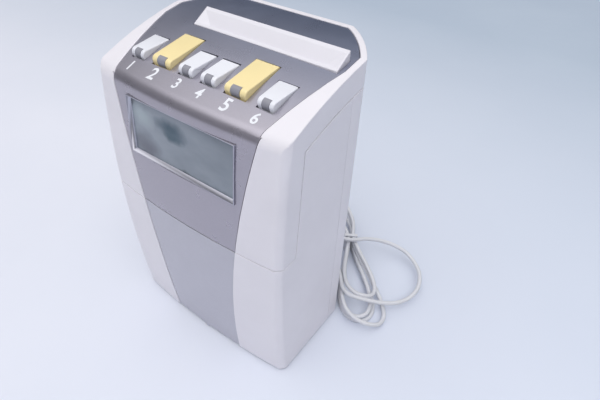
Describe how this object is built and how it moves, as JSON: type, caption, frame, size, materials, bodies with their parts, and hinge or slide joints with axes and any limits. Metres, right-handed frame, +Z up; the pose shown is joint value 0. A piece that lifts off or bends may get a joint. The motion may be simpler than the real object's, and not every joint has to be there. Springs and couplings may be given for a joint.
{
  "type": "time clock",
  "caption": "Upright desk time clock with a card hopper on its sloping top, hinged keys, a sunk display and a mains lead",
  "frame": {"origin": "on the table, under the middle of the case, without its mains lead", "axes": "+X to the clock's right seen from the front, +Y to its back, +Z up"},
  "size_m": [0.2044, 0.2048, 0.2304],
  "materials": {
    "white_shell": "fine satin",
    "panel_grey": "satin metallic grey",
    "lower_panel_grey": "satin metallic grey",
    "bezel_metal": "satin",
    "display_glass": "clear",
    "display_face": "grey display face",
    "key_white": "satin",
    "key_yellow": "satin",
    "key_mark_grey": "satin",
    "steel": "plain sheet and bar",
    "aluminium": "cast",
    "brass": "cut",
    "iron": "varnished laminations",
    "rubber": "matte",
    "gear_plastic": "natural",
    "dark_plastic": "fine texture",
    "board_green": "lacquered",
    "battery_blue": "shrink sleeve",
    "cord_white": "soft satin",
    "tie_white": "coated wire"
  },
  "bodies": {
    "case": {"base_plate": "white_shell", "rubber_feet": "rubber", "base_screws": "steel", "lower_case": "white_shell", "rear_cover": "white_shell", "rear_screws": "steel", "lower_front_panel": "lower_panel_grey", "key_board": "board_green", "key_switches": "dark_plastic", "chassis_left": "steel", "chassis_right": "steel", "chassis_bridge": "steel", "display_bracket": "steel", "display_board": "board_green", "display_module": "display_face", "card_guide_front": "steel", "card_guide_rear": "steel", "feed_motor": "steel", "carriage_rods": "steel", "ribbon_cartridge": "dark_plastic", "drive_tray": "steel", "carriage_motor": "steel", "carriage_belt": "rubber", "main_board": "board_green", "board_parts": "dark_plastic", "transformer": "iron", "backup_battery": "battery_blue", "cord_gland": "cord_white", "cord_lead": "cord_white", "cord_hank": "cord_white", "cord_tie": "tie_white", "plug": "cord_white"},
    "cover": {"top_cover": "white_shell", "control_panel": "panel_grey", "display_bezel": "bezel_metal", "display_window": "display_glass", "card_hopper": "white_shell", "key_pins": "steel"},
    "key_1": {"key_1": "key_white", "key_mark_1": "key_mark_grey"},
    "key_2": {"key_2": "key_yellow", "key_mark_2": "key_mark_grey"},
    "key_3": {"key_3": "key_white", "key_mark_3": "key_mark_grey"},
    "key_4": {"key_4": "key_white", "key_mark_4": "key_mark_grey"},
    "key_5": {"key_5": "key_yellow", "key_mark_5": "key_mark_grey"},
    "key_6": {"key_6": "key_white", "key_mark_6": "key_mark_grey"},
    "feed": {"feed_shaft": "steel", "feed_rollers": "rubber", "feed_gear": "gear_plastic"},
    "pinion": {"motor_pinion": "brass"},
    "pinch_arm": {"pinch_arm": "steel"},
    "pinch_rollers": {"pinch_rollers": "rubber"},
    "carriage": {"print_carriage": "dark_plastic", "print_head": "aluminium"},
    "drive_pulley": {"drive_pulley": "gear_plastic"},
    "idler_pulley": {"idler_pulley": "gear_plastic"}
  },
  "joints": [
    {"name": "cover_lift", "type": "slide", "parent": "case", "child": "cover", "axis": [0, 0, 1], "range_m": [0, 0.11]},
    {"name": "key_1_press", "type": "hinge", "parent": "cover", "child": "key_1", "pos_m": [-0.0497, -0.01328, 0.21203], "axis": [1, 0, 0], "range_deg": [0, 7], "stiffness_Nm_per_rad": 0.05, "springref_deg": -8.59},
    {"name": "key_2_press", "type": "hinge", "parent": "cover", "child": "key_2", "pos_m": [-0.0288, -0.00509, 0.21476], "axis": [1, 0, 0], "range_deg": [0, 5], "stiffness_Nm_per_rad": 0.05, "springref_deg": -8.59},
    {"name": "key_3_press", "type": "hinge", "parent": "cover", "child": "key_3", "pos_m": [-0.0088, -0.01332, 0.21267], "axis": [1, 0, 0], "range_deg": [0, 7], "stiffness_Nm_per_rad": 0.05, "springref_deg": -8.59},
    {"name": "key_4_press", "type": "hinge", "parent": "cover", "child": "key_4", "pos_m": [0.0088, -0.01332, 0.21267], "axis": [1, 0, 0], "range_deg": [0, 7], "stiffness_Nm_per_rad": 0.05, "springref_deg": -8.59},
    {"name": "key_5_press", "type": "hinge", "parent": "cover", "child": "key_5", "pos_m": [0.0288, -0.00509, 0.21476], "axis": [1, 0, 0], "range_deg": [0, 5], "stiffness_Nm_per_rad": 0.05, "springref_deg": -8.59},
    {"name": "key_6_press", "type": "hinge", "parent": "cover", "child": "key_6", "pos_m": [0.0497, -0.01328, 0.21203], "axis": [1, 0, 0], "range_deg": [0, 7], "stiffness_Nm_per_rad": 0.05, "springref_deg": -8.59},
    {"name": "feed_spin", "type": "hinge", "parent": "case", "child": "feed", "pos_m": [0.01325, 0.02165, 0.092], "axis": [1, 0, 0], "continuous": true},
    {"name": "pinion_spin", "type": "hinge", "parent": "case", "child": "pinion", "pos_m": [-0.04375, 0.03255, 0.07062], "axis": [1, 0, 0], "continuous": true},
    {"name": "pinch_swing", "type": "hinge", "parent": "case", "child": "pinch_arm", "pos_m": [0.01325, 0.00035, 0.078], "axis": [1, 0, 0], "range_deg": [0, 12], "stiffness_Nm_per_rad": 0.1, "springref_deg": -11.46},
    {"name": "pinch_spin", "type": "hinge", "parent": "pinch_arm", "child": "pinch_rollers", "pos_m": [0.01325, 0.00835, 0.092], "axis": [1, 0, 0], "continuous": true},
    {"name": "carriage_slide", "type": "slide", "parent": "case", "child": "carriage", "axis": [1, 0, 0], "range_m": [-0.03, 0.03]},
    {"name": "drive_pulley_spin", "type": "hinge", "parent": "case", "child": "drive_pulley", "pos_m": [0.04975, -0.034, 0.1007], "axis": [0, 0, 1], "range_deg": [-350, 350]},
    {"name": "idler_pulley_spin", "type": "hinge", "parent": "case", "child": "idler_pulley", "pos_m": [-0.02575, -0.034, 0.1007], "axis": [0, 0, 1], "range_deg": [-350, 350]}
  ],
  "couplings": [
    {"joint": "pinion_spin", "follows": "feed_spin", "ratio": -3},
    {"joint": "pinch_spin", "follows": "feed_spin", "ratio": -1.6},
    {"joint": "drive_pulley_spin", "follows": "carriage_slide", "rad_per_m": -200},
    {"joint": "idler_pulley_spin", "follows": "carriage_slide", "rad_per_m": -200}
  ]
}
